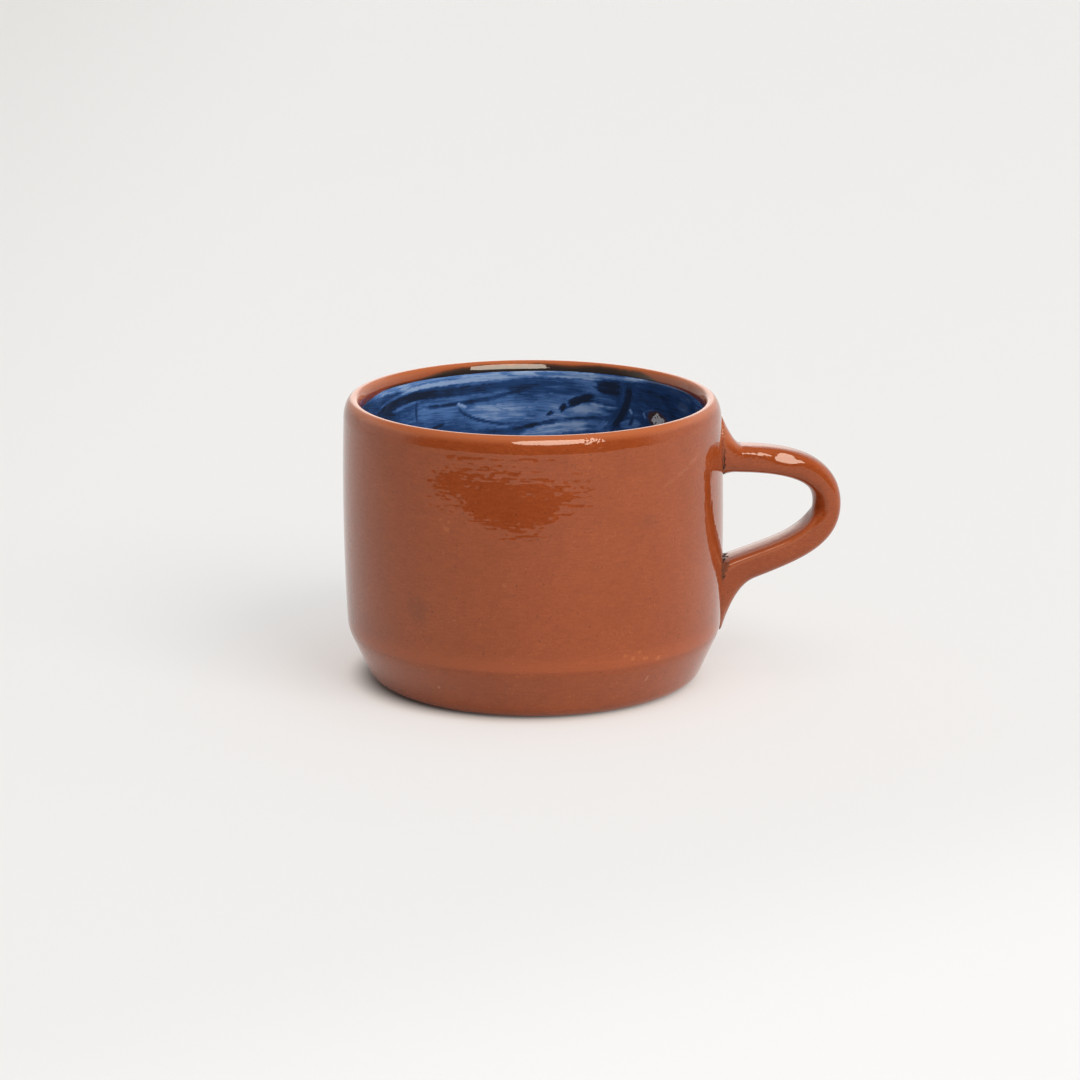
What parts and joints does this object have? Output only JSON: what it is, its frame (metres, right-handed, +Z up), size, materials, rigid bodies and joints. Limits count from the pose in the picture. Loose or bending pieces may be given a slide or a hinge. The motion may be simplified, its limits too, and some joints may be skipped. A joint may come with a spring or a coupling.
{
  "type": "mug",
  "caption": "Low round earthenware mug with a bevelled foot, a pulled strap handle luted to the wall and a brushed blue slip lining.",
  "frame": {"origin": "middle of the flat base, on the cup's axis", "axes": "+Z up along the cup's axis, +X from the axis out through the handle, +Y completes the right-handed frame"},
  "size_m": [0.1314, 0.0998, 0.075],
  "materials": {
    "glazed_terracotta": "red-brown fired clay under a glossy clear glaze, with fine throwing ripples, specks and a bare flat base",
    "handle_terracotta": "the same red-brown clay pulled into a strap, under a glossy clear glaze with a few pinholes",
    "blue_slip_glaze": "streaky brushed blue over pale slip, glossy, pooling to navy in places and dark where it meets the lip",
    "joint_slip": "slightly darker, gritty luting slip under clear glaze"
  },
  "bodies": {
    "root": {"cup_body": "glazed_terracotta", "blue_lining": "blue_slip_glaze", "handle": "handle_terracotta", "upper_slip_joint": "joint_slip", "lower_slip_joint": "joint_slip"}
  },
  "joints": []
}
